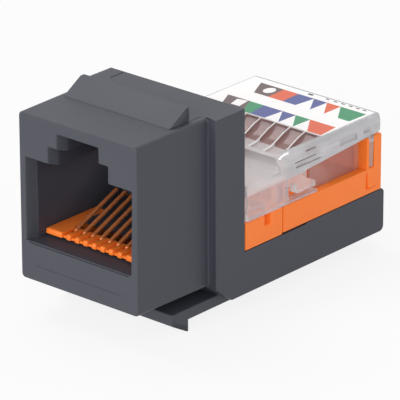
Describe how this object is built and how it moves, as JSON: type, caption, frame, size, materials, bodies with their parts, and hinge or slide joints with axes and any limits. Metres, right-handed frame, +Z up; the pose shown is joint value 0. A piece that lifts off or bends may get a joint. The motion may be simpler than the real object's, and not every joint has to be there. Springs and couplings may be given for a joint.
{
  "type": "keystone jack",
  "caption": "Panel-mount modular jack with a stepped socket, sprung contacts, orange wire block in a rear tray and a clear press-on cap with a colour-coded label.",
  "frame": {"origin": "bottom centre of the whole part's box, under the tip of the latch hook's level", "axes": "+Y from the socket's face to the rear, +Z up, +X to the right seen from the front"},
  "size_m": [0.0164, 0.0328, 0.0207],
  "materials": {
    "charcoal_plastic": "fine satin moulded plastic",
    "orange_plastic": "satin moulded plastic",
    "circuit_board": "green solder mask",
    "gold_contact": "gold-plated spring wire",
    "tinned_blade": "tinned",
    "clear_plastic": "clear moulded plastic",
    "printed_label": "printed film"
  },
  "bodies": {
    "jack": {"housing": "charcoal_plastic", "contact_carrier": "orange_plastic", "idc_block": "orange_plastic", "circuit_board": "circuit_board", "contact_1": "gold_contact", "contact_2": "gold_contact", "contact_3": "gold_contact", "contact_4": "gold_contact", "contact_5": "gold_contact", "contact_6": "gold_contact", "contact_7": "gold_contact", "contact_8": "gold_contact", "idc_blade_1": "tinned_blade", "idc_blade_2": "tinned_blade", "idc_blade_3": "tinned_blade", "idc_blade_4": "tinned_blade", "idc_blade_5": "tinned_blade", "idc_blade_6": "tinned_blade", "idc_blade_7": "tinned_blade", "idc_blade_8": "tinned_blade"},
    "cap": {"termination_cap": "clear_plastic", "wiring_label": "printed_label"}
  },
  "joints": [
    {"name": "cap_lift", "type": "slide", "parent": "jack", "child": "cap", "axis": [0, 0, 1], "range_m": [0, 0.012]}
  ]
}
